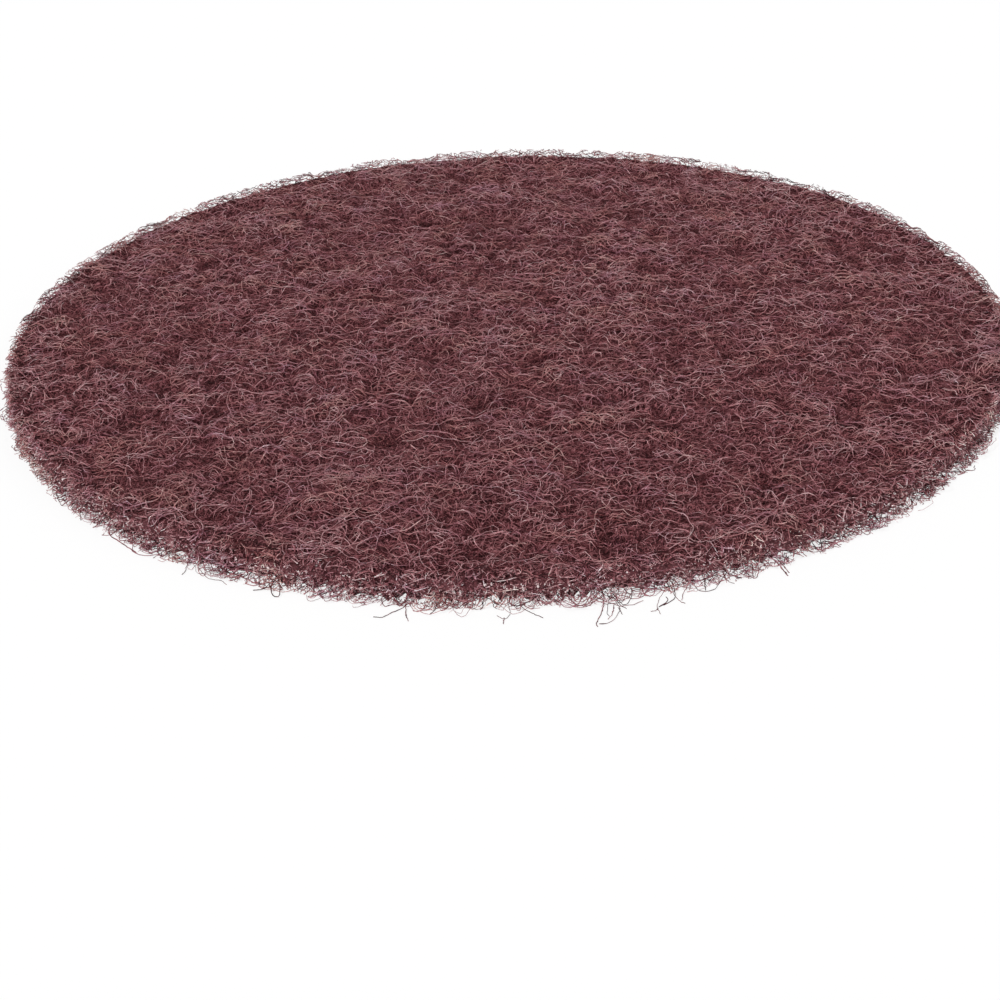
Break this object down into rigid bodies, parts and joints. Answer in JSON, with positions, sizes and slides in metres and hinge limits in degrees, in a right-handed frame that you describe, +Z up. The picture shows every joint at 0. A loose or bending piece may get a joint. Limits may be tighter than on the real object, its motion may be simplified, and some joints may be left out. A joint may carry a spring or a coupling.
{
  "type": "floor polishing pad",
  "caption": "Flat round floor polishing pad: a thick disc of curled, resin-bonded fibre with a rough open face and a ragged die-cut rim.",
  "frame": {"origin": "centre of the flat underside, on the floor", "axes": "+Z up through the pad's thickness, from the face on the floor to the face under the pad driver; X and Y lie in the pad"},
  "size_m": [0.4348, 0.4349, 0.015],
  "materials": {
    "fibre_web": "matte dull maroon web of curled, resin-coated fibres"
  },
  "bodies": {
    "root": {"polishing_pad": "fibre_web"}
  },
  "joints": []
}
